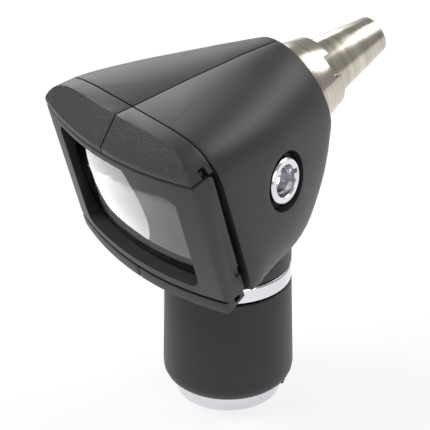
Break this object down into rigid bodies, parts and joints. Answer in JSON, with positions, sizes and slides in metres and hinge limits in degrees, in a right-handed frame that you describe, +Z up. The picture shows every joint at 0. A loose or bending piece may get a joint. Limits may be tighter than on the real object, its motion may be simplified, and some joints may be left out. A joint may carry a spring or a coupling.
{
  "type": "otoscope",
  "caption": "Otoscope head with a tapered housing, sliding magnifying window, metal cone nose, side insufflation port and a round lamp neck with a handle coupling.",
  "frame": {"origin": "on the surface the coupling ring stands on, under the middle of the outline", "axes": "+Z up along the neck, +Y towards the nose, +X towards the side with the port"},
  "size_m": [0.0408, 0.0594, 0.0638],
  "materials": {
    "black_plastic": "fine satin",
    "grey_plastic": "fine satin",
    "matt_black": "dull, against stray light",
    "satin_nickel": "turned satin nickel",
    "chrome": "polished",
    "steel": "plain",
    "brass": "turned",
    "rubber": "dull",
    "clear_acrylic": "polished, clear",
    "lamp_glass": "clear",
    "light_fibre": "polished ends",
    "white_insulator": "plain",
    "tungsten": "wire"
  },
  "bodies": {
    "head": {"left_shell": "black_plastic", "right_shell": "black_plastic", "upper_rail_left": "black_plastic", "upper_rail_right": "black_plastic", "lower_rail_left": "black_plastic", "lower_rail_right": "black_plastic", "window_seal": "rubber", "friction_spring": "steel", "throat": "matt_black", "nose_gasket": "rubber", "speculum_collar": "satin_nickel", "nose_cone": "satin_nickel", "fibre_ring": "light_fibre", "bore_tube": "matt_black", "fibre_bundle": "light_fibre", "bundle_ferrule": "brass", "insufflation_port": "chrome", "port_washer": "rubber", "port_nut": "brass", "shell_screw": "steel", "neck_tube": "brass", "neck_nut": "brass", "neck_collar": "black_plastic", "chrome_band": "chrome", "lower_sleeve": "black_plastic", "coupling_ring": "chrome", "bayonet_pin_1": "steel", "bayonet_pin_2": "steel", "bayonet_pin_3": "steel", "lamp_base": "brass", "lamp_bulb": "lamp_glass", "lamp_filament": "tungsten", "lamp_insulator": "white_insulator", "lamp_contact": "brass", "lamp_bush": "white_insulator"},
    "lens_slider": {"lens_frame": "grey_plastic", "lens_retainer": "grey_plastic", "magnifying_lens": "clear_acrylic"}
  },
  "joints": [
    {"name": "lens_slide", "type": "hinge", "parent": "head", "child": "lens_slider", "pos_m": [0, 0.03903, 0.06211], "axis": [0, -0.2756, 0.9613], "range_deg": [-24, 24]}
  ]
}
